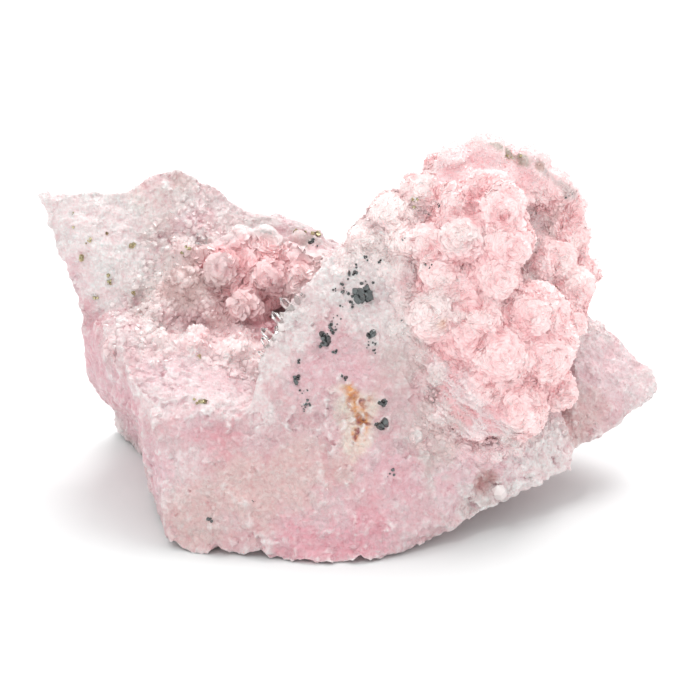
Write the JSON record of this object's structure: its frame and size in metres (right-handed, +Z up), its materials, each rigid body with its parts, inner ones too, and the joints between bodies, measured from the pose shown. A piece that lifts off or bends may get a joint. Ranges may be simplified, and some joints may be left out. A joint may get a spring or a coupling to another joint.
{
  "type": "rhodochrosite specimen",
  "caption": "Hand-sized pink mineral specimen: broken massive rock with a druse-lined hollow, a mound of bladed rosettes and sulphide grains, standing on a flat cut foot.",
  "frame": {"origin": "middle of the bounding box's underside, on the flat face the specimen rests on", "axes": "+X along the length, from the pointed wing to the splinter; +Y from the broken front face to the back; +Z up"},
  "size_m": [0.0934, 0.0588, 0.0547],
  "materials": {
    "massive_rhodochrosite": "pale pink massive rhodochrosite with grey-white quartz, rough broken faces, slightly translucent",
    "rosette_rhodochrosite": "rose-pink bladed rosettes, pearly and slightly translucent",
    "vug_crystals": "pink rosettes and greyish drusy quartz, glittering",
    "clear_quartz": "clear colourless quartz points, glassy",
    "sphalerite": "dark grey to black, resinous to submetallic lustre",
    "pyrite": "brassy metallic grains, slightly tarnished"
  },
  "bodies": {
    "root": {"matrix": "massive_rhodochrosite", "rosette_mound": "rosette_rhodochrosite", "vug_crystals": "vug_crystals", "quartz_points": "clear_quartz", "sphalerite_grain_1": "sphalerite", "sphalerite_grain_2": "sphalerite", "sphalerite_grain_3": "sphalerite", "sphalerite_grain_4": "sphalerite", "sphalerite_grain_5": "sphalerite", "sphalerite_grain_6": "sphalerite", "pyrite_grain_1": "pyrite", "pyrite_grain_2": "pyrite", "pyrite_grain_3": "pyrite", "pyrite_grain_4": "pyrite", "pyrite_grain_5": "pyrite", "pyrite_grain_6": "pyrite"}
  },
  "joints": []
}
